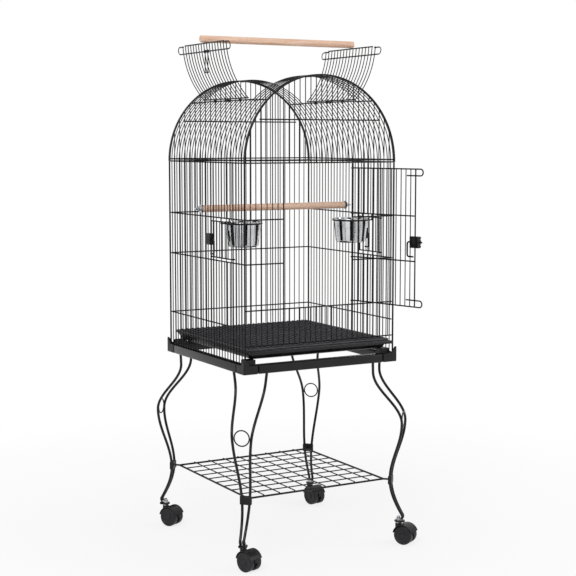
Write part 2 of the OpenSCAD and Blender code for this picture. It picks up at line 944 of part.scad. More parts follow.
module latch_body(width, z) {
    translate([-width - latch_l / 4, latch_y, z - latch_h / 2])
        difference() {
            union() {
                translate([0, 2, 0])
                    cube([latch_l, latch_t - 2, latch_h]);
                for (rib = [0:3])
                    translate([0, 0, (rib + 0.25) * latch_h / 4])
                        cube([latch_l, latch_t, latch_h / 8]);
            }
            translate([-1, latch_t / 2, latch_h / 2])
                rotate([0, 90, 0])
                    cylinder(h = latch_l + 2, d = bolt_d + 2 * bolt_gap);
        }
}

// The bolt: a rod through the body, bent down into a finger pull
module latch_bolt(width, z) {
    bend = 6;
    nose = -width - latch_l / 4 - 8;
    tail = -width + latch_l;
    translate([0, bolt_y, z]) {
        wire([nose, 0, 0], [tail, 0, 0], bolt_d);
        translate([tail, 0, -bend])
            rotate([90, 0, 0])
                rotate_extrude(angle = 90, $fn = 48)
                    translate([bend, 0])
                        circle(d = bolt_d);
        wire([tail + bend, 0, -bend], [tail + bend, 0, -pull_drop], bolt_d);
        translate([tail, 0, -pull_drop])
            rotate([90, 0, 0])
                rotate([0, 0, -90])
                    rotate_extrude(angle = 90, $fn = 48)
                        translate([bend, 0])
                            circle(d = bolt_d);
        wire([tail, 0, -pull_drop - bend], [tail - latch_l / 2, 0, -pull_drop - bend], bolt_d);
    }
}

main_latch_z = (sill_z + head_z) / 2;

module main_door_latch() {
    color(plastic)
        at_main_door()
            latch_body(main_w, main_latch_z);
}

module main_door_bolt() {
    color(black)
        at_main_door()
            latch_bolt(main_w, main_latch_z);
}

// Feeder doors hang on the front rod of each feeder opening
feeder_w = bar_u(feeder_front) - bar_u(feeder_back);
feeder_gaps = feeder_front - feeder_back;
feeder_bottom = sill_z + 9;
feeder_top = head_z - 9;
feeder_latch_z = (feeder_bottom + feeder_top) / 2;

module at_left_feeder() {
    on_left()
        translate([bar_u(feeder_front), 0, 0])
            children();
}

module left_feeder_door() {
    color(black)
        at_left_feeder()
            gate(feeder_w, feeder_gaps, [feeder_bottom, feeder_top],
                 feeder_bottom - rod_d / 2, feeder_top + rod_d / 2);
}

module left_feeder_latch() {
    color(plastic)
        at_left_feeder()
            latch_body(feeder_w, feeder_latch_z);
}

module left_feeder_bolt() {
    color(black)
        at_left_feeder()
            latch_bolt(feeder_w, feeder_latch_z);
}

module right_feeder_door() { to_right() left_feeder_door(); }
module right_feeder_latch() { to_right() left_feeder_latch(); }
module right_feeder_bolt() { to_right() left_feeder_bolt(); }

// Feeder cups hang in wire rings inside the feeder doors
cup_u = (bar_u(feeder_front) + bar_u(feeder_back)) / 2;
ring_d = 3.4;
cup_ring_r = cup_d / 2 + seat + ring_d / 2 - 0.5;
cup_in = cup_ring_r + ring_d + 7;
cup_top = stand_h + cup_top_h;
cup_rim = 3;
holder_z = cup_top - cup_rim - seat - ring_d / 2;

module at_left_cup() {
    on_left()
        translate([cup_u, cup_in, 0])
            children();
}

// A spun cup with a turned-out rim
module left_cup() {
    color(steel)
        at_left_cup()
            translate([0, 0, cup_top - cup_h])
                rotate_extrude($fn = round_fn)
                    polygon([
                        [0, 0], [cup_foot_d / 2, 0], [cup_d / 2 - 1, cup_h - cup_rim],
                        [cup_d / 2 + 3, cup_h - cup_rim], [cup_d / 2 + 3, cup_h],
                        [cup_d / 2 - 1 - cup_wall, cup_h], [cup_foot_d / 2 - cup_wall, cup_wall], [0, cup_wall]
                    ]);
}

// A ring round the cup with two arms that reach the head rod of the feeder opening
module left_cup_holder() {
    arm = cup_d / 4;
    reach = -cup_in + lap + rod_d / 2 + seat + ring_d / 2;
    rise = head_z - holder_z;
    color(black)
        at_left_cup()
            translate([0, 0, holder_z]) {
                rotate_extrude($fn = round_fn)
                    translate([cup_ring_r, 0])
                        circle(d = ring_d);
                for (x = [-arm, arm]) {
                    wire([x, -cup_ring_r * cos(asin(arm / cup_ring_r)), 0], [x, reach, 0], ring_d);
                    translate([x, reach, 0])
                        sphere(d = ring_d);
                    wire([x, reach, 0], [x, reach, rise], ring_d);
                }
            }
}

module right_cup() { to_right() left_cup(); }
module right_cup_holder() { to_right() left_cup_holder(); }

// Tray and grate slide out through the slot at the front
tray_z = stand_h + tray_seat_h + seat;
tray_half = tray_w / 2;
tray_front = -half - 3;
tray_back = half - bar_d / 2 - rod_d - 2;

// Sloped walls from a foot to a wider rim, grown by a margin all round
module tray_solid(margin, z0, z1) {
    hull() {
        translate([-tray_half + tray_draft + margin, tray_front + tray_draft + margin, z0])
            cube([tray_w - 2 * tray_draft - 2 * margin, tray_back - tray_front - 2 * tray_draft - 2 * margin, 0.01]);
        translate([-tray_half + margin, tray_front + margin, z1])
            cube([tray_w - 2 * margin, tray_back - tray_front - 2 * margin, 0.01]);
    }
}

module tray() {
    lip_t = 3;
    lip_drop = 8;
    color(plastic)
        difference() {
            union() {
                tray_solid(0, tray_z, tray_z + tray_h);
                translate([-tray_half, tray_front - tray_lip, tray_z + tray_h - lip_t])
                    cube([tray_w, tray_lip + 1, lip_t]);
                translate([-tray_half, tray_front - tray_lip, tray_z + tray_h - lip_drop])
                    cube([tray_w, lip_t, lip_drop]);
            }
            tray_solid(tray_wall, tray_z + tray_wall, tray_z + tray_h + 1);
        }
}

grate_z = tray_z + tray_h + seat + rod_d / 2;
module grate() {
    x = tray_half - rod_d / 2 - 1;
    y0 = -half + rod_d;
    y1 = tray_back - rod_d;
    gap = 2 * x / grate_gaps;
    sink = (bar_d + rod_d) / 2 - weld_sink;
    color(black) {
        for (e = [-x, x])
            wire([e, y0, grate_z], [e, y1, grate_z], rod_d);
        for (y = [y0, (y0 + y1) / 2, y1])
            wire([-x, y, grate_z], [x, y, grate_z], rod_d);
        for (i = [1:grate_gaps - 1])
            wire([-x + i * gap, y0, grate_z + sink], [-x + i * gap, y1, grate_z + sink]);
    }
}

stand_rails();
corner_caps();
leg_front_left();
leg_front_right();
leg_back_right();
leg_back_left();
leg_rings();
leg_bands();
foot_plates();
shelf();
caster_stems();
caster_hood_front_left();
caster_hood_front_right();
caster_hood_back_right();
caster_hood_back_left();
caster_wheels_front_left();
caster_wheels_front_right();
caster_wheels_back_right();
caster_wheels_back_left();
corner_posts();
front_left_grille();
front_right_grille();
front_lower_grille();
front_arch();
back_grille();
left_wall_back();
left_wall_front();
left_wall_upper();
left_wall_lower();
right_wall_back();
right_wall_front();
right_wall_upper();
right_wall_lower();
front_band();
back_band();
left_vault();
right_vault();
left_flap();
right_flap();
flap_hook();
top_perch();
inner_perch();
perch_bolts();
main_door();
main_door_latch();
main_door_bolt();
left_feeder_door();
right_feeder_door();
left_feeder_latch();
right_feeder_latch();
left_feeder_bolt();
right_feeder_bolt();
left_cup_holder();
right_cup_holder();
left_cup();
right_cup();
tray();
grate();
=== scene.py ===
import json

import bmesh
import bpy
import numpy as np
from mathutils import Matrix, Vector

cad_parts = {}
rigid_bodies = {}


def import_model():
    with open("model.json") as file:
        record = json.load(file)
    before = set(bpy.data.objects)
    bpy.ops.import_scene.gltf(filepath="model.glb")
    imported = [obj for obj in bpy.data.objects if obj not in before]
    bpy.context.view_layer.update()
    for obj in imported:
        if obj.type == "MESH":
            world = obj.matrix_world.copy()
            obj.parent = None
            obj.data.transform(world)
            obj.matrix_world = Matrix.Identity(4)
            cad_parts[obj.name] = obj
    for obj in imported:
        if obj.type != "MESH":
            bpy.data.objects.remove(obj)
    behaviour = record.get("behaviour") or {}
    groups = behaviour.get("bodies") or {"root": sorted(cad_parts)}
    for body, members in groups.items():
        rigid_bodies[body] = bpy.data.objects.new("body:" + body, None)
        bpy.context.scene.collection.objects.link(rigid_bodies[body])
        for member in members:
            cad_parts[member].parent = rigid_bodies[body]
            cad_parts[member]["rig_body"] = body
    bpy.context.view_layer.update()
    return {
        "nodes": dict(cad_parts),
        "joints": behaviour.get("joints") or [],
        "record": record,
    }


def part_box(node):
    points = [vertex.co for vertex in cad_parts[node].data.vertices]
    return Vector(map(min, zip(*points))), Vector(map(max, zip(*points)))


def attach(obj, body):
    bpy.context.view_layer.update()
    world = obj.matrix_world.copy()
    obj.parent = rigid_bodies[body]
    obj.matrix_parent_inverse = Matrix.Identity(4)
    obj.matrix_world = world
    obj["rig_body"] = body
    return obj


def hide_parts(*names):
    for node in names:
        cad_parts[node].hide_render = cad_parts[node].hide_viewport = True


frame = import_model()
nodes = frame["nodes"]
joints = {joint["name"]: joint for joint in frame["joints"]}
slotOf = {part["node"]: part["material_slot"] for part in frame["record"]["subparts"]}
corners = ["front_left", "front_right", "back_right", "back_left"]
cornerTurns = np.radians([-135, -45, 45, 135])  # direction of each corner from the middle
mm = 0.001


# Camera at the photograph's viewing angle, found from the corners of the walls, rails and shelf
cameraView = dict(azimuth=29.5, elevation=6.2, distance=3.586, lens=85.1, sensor=36.0,
                  aimRight=0.023, aimHeight=0.661)


def addCamera(view):
    azimuth, elevation = np.radians([view["azimuth"], view["elevation"]])
    # From the target back to the camera: a unit vector, level part first
    level = np.cos(elevation)
    back = Vector((-np.sin(azimuth) * level, -np.cos(azimuth) * level, np.sin(elevation)))
    right = Vector((np.cos(azimuth), -np.sin(azimuth), 0))
    target = right * view["aimRight"] + Vector((0, 0, view["aimHeight"]))
    camera = bpy.data.objects.new("camera", bpy.data.cameras.new("camera"))
    camera.data.lens = view["lens"]
    camera.data.sensor_width = view["sensor"]
    camera.location = target + back * view["distance"]
    camera.rotation_euler = (-back).to_track_quat("-Z", "Y").to_euler()
    bpy.context.scene.collection.objects.link(camera)
    bpy.context.scene.camera = camera


addCamera(cameraView)
print("camera:", cameraView["lens"], "mm lens")


# Materials
patternSpan = {1: 0.35, 2: 0.65}  # nearly all of a noise pattern lies between these


def hexColor(code):
    # sRGB hex to linear RGBA by the sRGB curve
    srgb = np.array([int(code[i:i + 2], 16) for i in (1, 3, 5)]) / 255
    linear = np.where(srgb <= 0.04045, srgb / 12.92, ((srgb + 0.055) / 1.055) ** 2.4)
    return (*linear.tolist(), 1.0)


def addNode(tree, kind, inputs=None, **settings):
    # One node: settings are its properties, inputs are values or the sockets that feed it
    made = tree.nodes.new(kind)
    for key, value in settings.items():
        setattr(made, key, value)
    for key, value in (inputs or {}).items():
        if isinstance(value, bpy.types.NodeSocket):
            tree.links.new(value, made.inputs[key])
        else:
            made.inputs[key].default_value = value
    return made


def startFinish(name):
    # An empty material and the object's own coordinates
    finish = bpy.data.materials.new(name)
    finish.use_nodes = True
    tree = finish.node_tree
    tree.nodes.clear()
    return finish, tree, addNode(tree, "ShaderNodeTexCoord").outputs["Object"]


def endFinish(tree, color, roughness, normal, **fixed):
    # The shader: what varies over the surface comes from nodes, what is the same all over is set here
    inputs = {"Base Color": color.outputs[2], "Roughness": roughness.outputs[0], "Normal": normal.outputs[0]}
    inputs.update({key.replace("_", " "): value for key, value in fixed.items()})
    shader = addNode(tree, "ShaderNodeBsdfPrincipled", inputs)
    addNode(tree, "ShaderNodeOutputMaterial", {"Surface": shader.outputs[0]})


def blackPowderCoat(name, look):
    # Powder coated mild steel: baked black enamel, glossy, with the faint ripple of orange peel
    finish, tree, place = startFinish(name)
    cloud = addNode(tree, "ShaderNodeTexNoise", {"Vector": place, "Scale": 1 / (look["cloudMm"] * mm)})
    fine = {"Vector": place, "Scale": 1 / (look["peelMm"] * mm), "Detail": 1.0}
    peel = addNode(tree, "ShaderNodeTexNoise", fine)
    share = addNode(tree, "ShaderNodeMapRange", {0: cloud.outputs["Fac"], **patternSpan})
    tones = {0: share.outputs[0], 6: hexColor(look["dark"]), 7: hexColor(look["pale"])}
    color = addNode(tree, "ShaderNodeMix", tones, data_type="RGBA")
    shiny, dull = look["gloss"]
    rough = addNode(tree, "ShaderNodeMapRange", {0: share.outputs[0], 3: shiny, 4: dull})
    height = {"Height": peel.outputs["Fac"], "Distance": look["depthMm"] * mm, "Strength": look["relief"]}
    ripple = addNode(tree, "ShaderNodeBump", height)
    endFinish(tree, color, rough, ripple, Specular_IOR_Level=look["shine"])
    return finish


def mouldedPlastic(name, look):
    # Injection moulded plastic: satin, with spark-eroded grain and paler patches where it is handled
    finish, tree, place = startFinish(name)
    patch = addNode(tree, "ShaderNodeTexNoise", {"Vector": place, "Scale": 1 / (look["patchMm"] * mm)})
    # real grain is about 0.2 mm across: drawn coarser, so that it shows
    fine = {"Vector": place, "Scale": 1 / (look["grainMm"] * mm), "Detail": 1.0}
    grain = addNode(tree, "ShaderNodeTexNoise", fine)
    share = addNode(tree, "ShaderNodeMapRange", {0: patch.outputs["Fac"], **patternSpan})
    tones = {0: share.outputs[0], 6: hexColor(look["dark"]), 7: hexColor(look["pale"])}
    color = addNode(tree, "ShaderNodeMix", tones, data_type="RGBA")
    shiny, dull = look["gloss"]
    rough = addNode(tree, "ShaderNodeMapRange", {0: share.outputs[0], 3: shiny, 4: dull})
    height = {"Height": grain.outputs["Fac"], "Distance": look["depthMm"] * mm, "Strength": look["relief"]}
    pits = addNode(tree, "ShaderNodeBump", height)
    endFinish(tree, color, rough, pits, Specular_IOR_Level=look["shine"])
    return finish


def zincPlate(name, look):
    # Bright zinc plated steel: pale metal with cloudy blooms from the plating bath and fine turning marks
    finish, tree, place = startFinish(name)
    bloom = addNode(tree, "ShaderNodeTexNoise", {"Vector": place, "Scale": 1 / (look["bloomMm"] * mm)})
    turning = addNode(tree, "ShaderNodeTexNoise", {"Vector": place, "Scale": 1 / (look["turningMm"] * mm)})
    share = addNode(tree, "ShaderNodeMapRange", {0: bloom.outputs["Fac"], **patternSpan})
    tones = {0: share.outputs[0], 6: hexColor(look["dark"]), 7: hexColor(look["pale"])}
    color = addNode(tree, "ShaderNodeMix", tones, data_type="RGBA")
    shiny, dull = look["gloss"]
    rough = addNode(tree, "ShaderNodeMapRange", {0: share.outputs[0], 3: shiny, 4: dull})
    height = {"Height": turning.outputs["Fac"], "Distance": look["depthMm"] * mm, "Strength": look["relief"]}
    marks = addNode(tree, "ShaderNodeBump", height)
    endFinish(tree, color, rough, marks, Metallic=1.0)
    return finish


def spunStainless(name, look):
    # Stainless sheet spun to a cup: bright, with fine level rings left by the spinning tool
    finish, tree, place = startFinish(name)
    flat = (look["stretch"], look["stretch"], 1)
    level = addNode(tree, "ShaderNodeMapping", {"Vector": place, "Scale": flat})
    fine = {"Vector": level.outputs[0], "Scale": 1 / (look["ringMm"] * mm)}
    rings = addNode(tree, "ShaderNodeTexNoise", fine)
    smear = addNode(tree, "ShaderNodeTexNoise", {"Vector": place, "Scale": 1 / (look["smearMm"] * mm)})
    share = addNode(tree, "ShaderNodeMapRange", {0: smear.outputs["Fac"], **patternSpan})
    tones = {0: share.outputs[0], 6: hexColor(look["dark"]), 7: hexColor(look["pale"])}
    color = addNode(tree, "ShaderNodeMix", tones, data_type="RGBA")
    shiny, dull = look["gloss"]
    rough = addNode(tree, "ShaderNodeMapRange", {0: rings.outputs["Fac"], 3: shiny, 4: dull})
    height = {"Height": rings.outputs["Fac"], "Distance": look["depthMm"] * mm, "Strength": look["relief"]}
    grooves = addNode(tree, "ShaderNodeBump", height)
    endFinish(tree, color, rough, grooves, Metallic=1.0)
    return finish


def sandedBeech(name, look):
    # Bare steamed beech turned to a dowel: pinkish tan, long grain along X and short darker flecks
    finish, tree, place = startFinish(name)
    along = addNode(tree, "ShaderNodeMapping", {"Vector": place, "Scale": (look["grainStretch"], 1, 1)})
    short = addNode(tree, "ShaderNodeMapping", {"Vector": place, "Scale": (look["fleckStretch"], 1, 1)})
    coarse = {"Vector": along.outputs[0], "Scale": 1 / (look["grainMm"] * mm)}
    fine = {"Vector": short.outputs[0], "Scale": 1 / (look["fleckMm"] * mm)}
    grain = addNode(tree, "ShaderNodeTexNoise", coarse)
    fleck = addNode(tree, "ShaderNodeTexNoise", fine)
    share = addNode(tree, "ShaderNodeMapRange", {0: grain.outputs["Fac"], **look["grainSpan"]})
    tones = {0: share.outputs[0], 6: hexColor(look["dark"]), 7: hexColor(look["pale"])}
    wood = addNode(tree, "ShaderNodeMix", tones, data_type="RGBA")
    mark = addNode(tree, "ShaderNodeMapRange", {0: fleck.outputs["Fac"], **look["fleckSpan"]})
    flecked = {0: mark.outputs[0], 6: wood.outputs[2], 7: hexColor(look["fleck"])}
    color = addNode(tree, "ShaderNodeMix", flecked, data_type="RGBA")
    shiny, dull = look["gloss"]
    rough = addNode(tree, "ShaderNodeMapRange", {0: share.outputs[0], 3: shiny, 4: dull})
    height = {"Height": fleck.outputs["Fac"], "Distance": look["depthMm"] * mm, "Strength": look["relief"]}
    pores = addNode(tree, "ShaderNodeBump", height)
    endFinish(tree, color, rough, pores, Specular_IOR_Level=look["shine"])
    return finish


enamel = dict(cloudMm=60, depthMm=0.02, relief=0.12)
plastic = dict(depthMm=0.12, relief=0.4)
wireLook = dict(enamel, dark="#08080a", pale="#121214", shine=0.22, gloss=(0.22, 0.36), peelMm=1.2)
tubeLook = dict(enamel, dark="#08080a", pale="#121215", shine=0.30, gloss=(0.16, 0.30), peelMm=2.0)
# the grate's black coat is drawn mid grey: painted sheen of the white surround caught at a grazing angle
grateLookPaintedSheen = dict(enamel, dark="#47474a", pale="#59595d", shine=0.4, gloss=(0.50, 0.66), peelMm=1.2)
moulding = dict(plastic, dark="#0d0d0f", pale="#19191c", shine=0.28, gloss=(0.35, 0.51),
                patchMm=22, grainMm=0.7)
wheelLook = dict(plastic, dark="#18181b", pale="#27272b", shine=0.28, gloss=(0.39, 0.55),
                 patchMm=18, grainMm=0.9)
trayLook = dict(plastic, dark="#0c0c0f", pale="#18181c", shine=0.32, gloss=(0.29, 0.45),
                patchMm=40, grainMm=1.1)
zincLook = dict(dark="#9a9da1", pale="#c4c7ca", gloss=(0.22, 0.42), bloomMm=6, turningMm=0.6,
                depthMm=0.03, relief=0.3)
cupLook = dict(dark="#c2c3c5", pale="#d8d9da", gloss=(0.05, 0.14), ringMm=0.8, smearMm=25, stretch=0.01,
               depthMm=0.01, relief=0.08)
woodLook = dict(dark="#dbae93", pale="#f0d0b9", fleck="#c79a7f", shine=0.35, gloss=(0.48, 0.66), grainMm=4,
                grainStretch=0.05, grainSpan={1: 0.32, 2: 0.68}, fleckMm=1.6, fleckStretch=0.12,
                fleckSpan={1: 0.40, 2: 0.30, 3: 0.0, 4: 0.6}, depthMm=0.08, relief=0.4)
finishes = {
    "black_wire": blackPowderCoat("powder coated wire", wireLook),
    "black_tube": blackPowderCoat("powder coated tube", tubeLook),
    "black_plastic": mouldedPlastic("moulded black ABS", moulding),
    "wheel_plastic": mouldedPlastic("moulded black nylon", wheelLook),
    "tray_plastic": mouldedPlastic("moulded black polypropylene", trayLook),
    "zinc_steel": zincPlate("zinc plated steel", zincLook),
    "stainless": spunStainless("spun stainless steel", cupLook),
    "perch_wood": sandedBeech("sanded steamed beech", woodLook),
}
for name, thing in nodes.items():
    thing.data.materials.clear()
    thing.data.materials.append(finishes[slotOf[name]])
# the grate's own finish, whose grey colours are painted sheen
grateFinishPaintedSheen = blackPowderCoat("matt powder coated mesh with painted sheen", grateLookPaintedSheen)
nodes["grate"].data.materials[0] = grateFinishPaintedSheen
print("materials:", len(finishes) + 1)


# Surfaces
weldDist, sliverDist, leastRound = 2e-6, 1e-7, 1e-5


def gridFaces(rows, cols):
    # Quads between neighbouring rows of points, closed round each row
    i, j = np.meshgrid(np.arange(rows - 1), np.arange(cols), indexing="ij")
    k = (j + 1) % cols
    return np.stack([i * cols + j, i * cols + k, (i + 1) * cols + k, (i + 1) * cols + j], -1).reshape(-1, 4)


def addPiece(name, shells, body, standsFor, sharpAngle=40):
    # Closed shells, each a grid of rows with its first and last row capped, joined into one piece
    points, faces, start = [], [], 0
    for shell in shells:
        rows, cols = shell.shape[:2]
        points.append(shell.reshape(-1, 3))
        faces += (gridFaces(rows, cols) + start).tolist()
        faces.append(list(range(start, start + cols)))
        faces.append(list(range(start + (rows - 1) * cols, start + rows * cols)))
        start += rows * cols
    mesh = bpy.data.meshes.new(name)
    mesh.from_pydata(np.concatenate(points).tolist(), [], faces)
    return finishPiece(name, mesh, body, standsFor, sharpAngle)


def finishPiece(name, mesh, body, standsFor, sharpAngle):
    # Merges poles, turns the faces outwards, and hangs the piece on its body
    shape = bmesh.new()
    shape.from_mesh(mesh)
    bmesh.ops.remove_doubles(shape, verts=shape.verts, dist=weldDist)
    bmesh.ops.dissolve_degenerate(shape, edges=shape.edges, dist=sliverDist)
    bmesh.ops.recalc_face_normals(shape, faces=shape.faces)
    shape.to_mesh(mesh)
    shape.free()
    mesh.shade_smooth()
    mesh.set_sharp_from_angle(angle=np.radians(sharpAngle))
    slotName = slotOf[standsFor[0]]
    mesh.materials.append(finishes[slotName])
    piece = bpy.data.objects.new(name, mesh)
    bpy.context.scene.collection.objects.link(piece)
    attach(piece, body)
    return piece


def tubeAlong(path, radius, sides=16, side=(0, 1, 0)):
    # A circle carried along a path, square to its direction and level with a fixed side
    path = np.asarray(path, float)
    ahead = np.gradient(path, axis=0)
    ahead /= np.linalg.norm(ahead, axis=1, keepdims=True)
    across = np.cross(side, ahead)
    across /= np.linalg.norm(across, axis=1, keepdims=True)
    over = np.cross(ahead, across)
    angle = np.linspace(0, 2 * np.pi, sides, endpoint=False)[None, :, None]
    ring = np.cos(angle) * across[:, None] + np.sin(angle) * over[:, None]
    return path[:, None] + np.broadcast_to(radius, len(path))[:, None, None] * ring


def revolved(profile, centre, axis=(0, 0, 1), sides=64):
    # A profile of (radius, height) turned round an axis through the centre
    profile, centre, axis = (np.asarray(given, float) for given in (profile, centre, axis))
    # any direction well away from the axis
    upright = abs(axis[2]) > 0.9
    helper = np.array([1.0, 0, 0]) if upright else np.array([0, 0, 1.0])
    first = np.cross(helper, axis)
    first /= np.linalg.norm(first)
    second = np.cross(axis, first)
    angle = np.linspace(0, 2 * np.pi, sides, endpoint=False)[None, :, None]
    ring = np.cos(angle) * first + np.sin(angle) * second
    return centre + profile[:, 1, None, None] * axis + profile[:, 0, None, None] * ring


def roundedRows(lowX, highX, lowY, highY, radius, z, steps=5):
    # Level rounded rectangles, one row for each height; every argument is an array over the rows
    lowX, highX, lowY, highY, radius, z = np.broadcast_arrays(lowX, highX, lowY, highY, radius, z)
    quarter = np.linspace(0, np.pi / 2, steps + 1)
    turn = np.concatenate([quarter + k * np.pi / 2 for k in range(4)])
    right = np.repeat([1, 0, 0, 1], steps + 1)
    far = np.repeat([1, 1, 0, 0], steps + 1)
    r = radius[:, None]
    x = np.where(right, highX[:, None] - r, lowX[:, None] + r) + r * np.cos(turn)
    y = np.where(far, highY[:, None] - r, lowY[:, None] + r) + r * np.sin(turn)
    return np.stack([x, y, np.broadcast_to(z[:, None], x.shape)], -1)


def roundedBlock(low, high, radius, steps=4):
    # A box with rounded edges: rounded rectangles that shrink by a quarter circle at the top and bottom
    bend = np.linspace(0, np.pi / 2, steps + 1)
    inset = radius * (1 - np.sin(bend))
    rise = radius * (1 - np.cos(bend))
    inset = np.concatenate([inset, inset[::-1]])
    z = np.concatenate([low[2] + rise, high[2] - rise[::-1]])
    return roundedRows(low[0] + inset, high[0] - inset, low[1] + inset, high[1] - inset,
                       np.maximum(radius - inset, leastRound), z, steps)


# Edges of moulded pieces, with the angles in degrees
edgeShape = dict(weld=1e-6, flatAngle=1, sharpAngle=30, bevelAngle=40, segments=2)


def softened(node, widthMm, s):
    # The CAD piece with its moulded edges rounded: a merged copy with flat faces joined, then a Bevel
    shape = bmesh.new()
    shape.from_mesh(nodes[node].data)
    bmesh.ops.remove_doubles(shape, verts=shape.verts, dist=s["weld"])
    bmesh.ops.dissolve_limit(shape, angle_limit=np.radians(s["flatAngle"]), verts=shape.verts,
                             edges=shape.edges)
    mesh = bpy.data.meshes.new(node + "_moulded")
    shape.to_mesh(mesh)
    shape.free()
    piece = finishPiece(node + "_moulded", mesh, nodes[node]["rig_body"], [node], s["sharpAngle"])
    bevel = piece.modifiers.new("edges", "BEVEL")
    bevel.width = widthMm * mm
    bevel.segments = s["segments"]
    bevel.limit_method = "ANGLE"
    bevel.angle_limit = np.radians(s["bevelAngle"])
    bevel.harden_normals = True
    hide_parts(node)


# Legs: two rods that bow out below the rails, draw in at the shelf and kick out to a curled foot
legShape = dict(rod=7.0, corner=215 * np.sqrt(2), inset=60.0, top=479.7, neck=455.0,
                bulge=322.0, bulgeOut=31.0, waist=167.0, waistIn=2.0, foot=62.33, footOut=37.0,
                footSplit=4.6, splitPower=1.4, rows=90, curlFrom=74.0, curlRadius=7.0, curlLean=30.0,
                curlStart=6.0, curlTurn=85.0, curlRows=14)


def eased(start, end, share):
    # From start to end by half a cosine wave
    return start + (end - start) * (1 - np.cos(np.pi * np.clip(share, 0, 1))) / 2


def legReach(z, s):
    # Distance from the middle along the diagonal: two half cosine waves, then a quarter one at the foot
    topReach = s["corner"] - s["inset"] / np.sqrt(2)
    bulgeReach = s["corner"] + s["bulgeOut"]
    waistReach = s["corner"] - s["waistIn"]
    footReach = s["corner"] + s["footOut"]
    upper = eased(topReach, bulgeReach, (s["neck"] - z) / (s["neck"] - s["bulge"]))
    lower = eased(bulgeReach, waistReach, (s["bulge"] - z) / (s["bulge"] - s["waist"]))
    kick = 1 - np.cos(np.pi / 2 * np.clip((s["waist"] - z) / (s["waist"] - s["foot"]), 0, 1))
    kicked = waistReach + (footReach - waistReach) * kick
    return np.where(z > s["bulge"], upper, np.where(z > s["waist"], lower, kicked))


def legSplit(z, s):
    # Half the distance between the two rods, which closes towards the foot by a power law
    share = np.clip((z - s["foot"]) / (s["top"] - s["foot"]), 0, 1) ** s["splitPower"]
    return s["footSplit"] + (s["inset"] / np.sqrt(2) - s["footSplit"]) * share


def legPath(s):
    # One rod in the corner's own frame: outwards, across, up; its foot curls in over the plate
    z = np.linspace(s["top"], s["curlFrom"], s["rows"])
    rod = np.stack([legReach(z, s), legSplit(z, s), z], -1)
    lean = np.radians(s["curlLean"])
    turn = lean - np.radians(np.linspace(s["curlStart"], s["curlTurn"], s["curlRows"]))
    middle = rod[-1] - s["curlRadius"] * np.array([np.cos(lean), 0, np.sin(lean)])
    curl = middle + s["curlRadius"] * np.stack([np.cos(turn), 0 * turn, np.sin(turn)], -1)
    return np.concatenate([rod, curl])


def turned(points, angle):
    # Points of a corner's own frame, turned to that corner and given in metres
    c, n = np.cos(angle), np.sin(angle)
    return points @ np.array([[c, n, 0], [-n, c, 0], [0, 0, 1]]) * mm


def addLegs(s):
    rod = legPath(s)
    for corner, angle in zip(corners, cornerTurns):
        shells = [turned(tubeAlong(rod * [1, side, 1], s["rod"] / 2), angle) for side in (1, -1)]
        piece = addPiece("leg_rods_" + corner, shells, "cage", ["leg_" + corner], sharpAngle=60)
        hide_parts("leg_" + corner)
    print("legs: 4 pairs of rods")


addLegs(legShape)


# Vaults: the dome's lower arcs, from the spring line up to the rod that the flaps hinge on
domeShape = dict(radius=215.0, spring=993.0, pitch=430 / 28, arcs=17, wire=2.4, rod=3.4, lap=2.2,
                 hingeAngle=46.0, footAngle=0.55, baseAngle=1.6, arcRows=20, wireSides=8, rodSides=12)


def addVault(sideName, sign, s):
    # Arcs of one circle, side by side, on two straight rods
    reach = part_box(sideName + "_vault")[1][1] / mm
    angle = np.radians(np.linspace(s["hingeAngle"], s["footAngle"], s["arcRows"]))
    arcX, arcZ = sign * s["radius"] * np.cos(angle), s["spring"] + s["radius"] * np.sin(angle)
    arc = np.stack([arcX, 0 * angle, arcZ], -1)
    spots = (np.arange(s["arcs"]) - (s["arcs"] - 1) / 2) * s["pitch"]
    wires = [tubeAlong(arc + [0, y, 0], s["wire"] / 2, s["wireSides"]) for y in spots]
    # the hinge rod lies on the arcs' circle, the base rod inside it
    rods = [(s["hingeAngle"], s["radius"], reach),
            (s["baseAngle"], s["radius"] - s["lap"], reach - s["rod"])]
    for degrees, radius, end in rods:
        x = sign * radius * np.cos(np.radians(degrees))
        z = s["spring"] + radius * np.sin(np.radians(degrees))
        wires.append(tubeAlong([[x, -end, z], [x, end, z]], s["rod"] / 2, s["rodSides"], (0, 0, 1)))
    node = sideName + "_vault"
    piece = addPiece(node + "_wires", [wire * mm for wire in wires], "cage", [node], sharpAngle=60)
    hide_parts(node)


addVault("left", -1, domeShape)
addVault("right", 1, domeShape)
print("vaults: 2")


# Arches: flat strips bent over the front and back grilles
stripShape = dict(width=8.0, thick=3.6, round=0.9, roundSteps=3, steps=72)


def addArchStrips(dome, s):
    # A rounded rectangle carried over half a circle: its thickness points outwards, its width along Y
    halfThick, halfWidth = s["thick"] / 2, s["width"] / 2
    level = np.zeros(1)
    ring = roundedRows(-halfThick, halfThick, -halfWidth, halfWidth, s["round"], level, s["roundSteps"])[0]
    angle = np.linspace(0, np.pi, s["steps"])[:, None]
    radius = dome["radius"] + ring[:, 0]
    strips = []
    for side in (-1, 1):
        y = np.broadcast_to(side * dome["radius"] + ring[:, 1], (s["steps"], len(ring)))
        z = dome["spring"] + radius * np.sin(angle)
        strips.append(np.stack([radius * np.cos(angle), y, z], -1) * mm)
    addPiece("arch_strips", strips, "cage", ["front_arch"])
    print("arches: 2 strips")


addArchStrips(domeShape, stripShape)


# Clips: moulded blocks that hold the two rods of each leg where the shelf hooks on
clipShape = dict(depth=9.5, width=30.0, round=2.4)


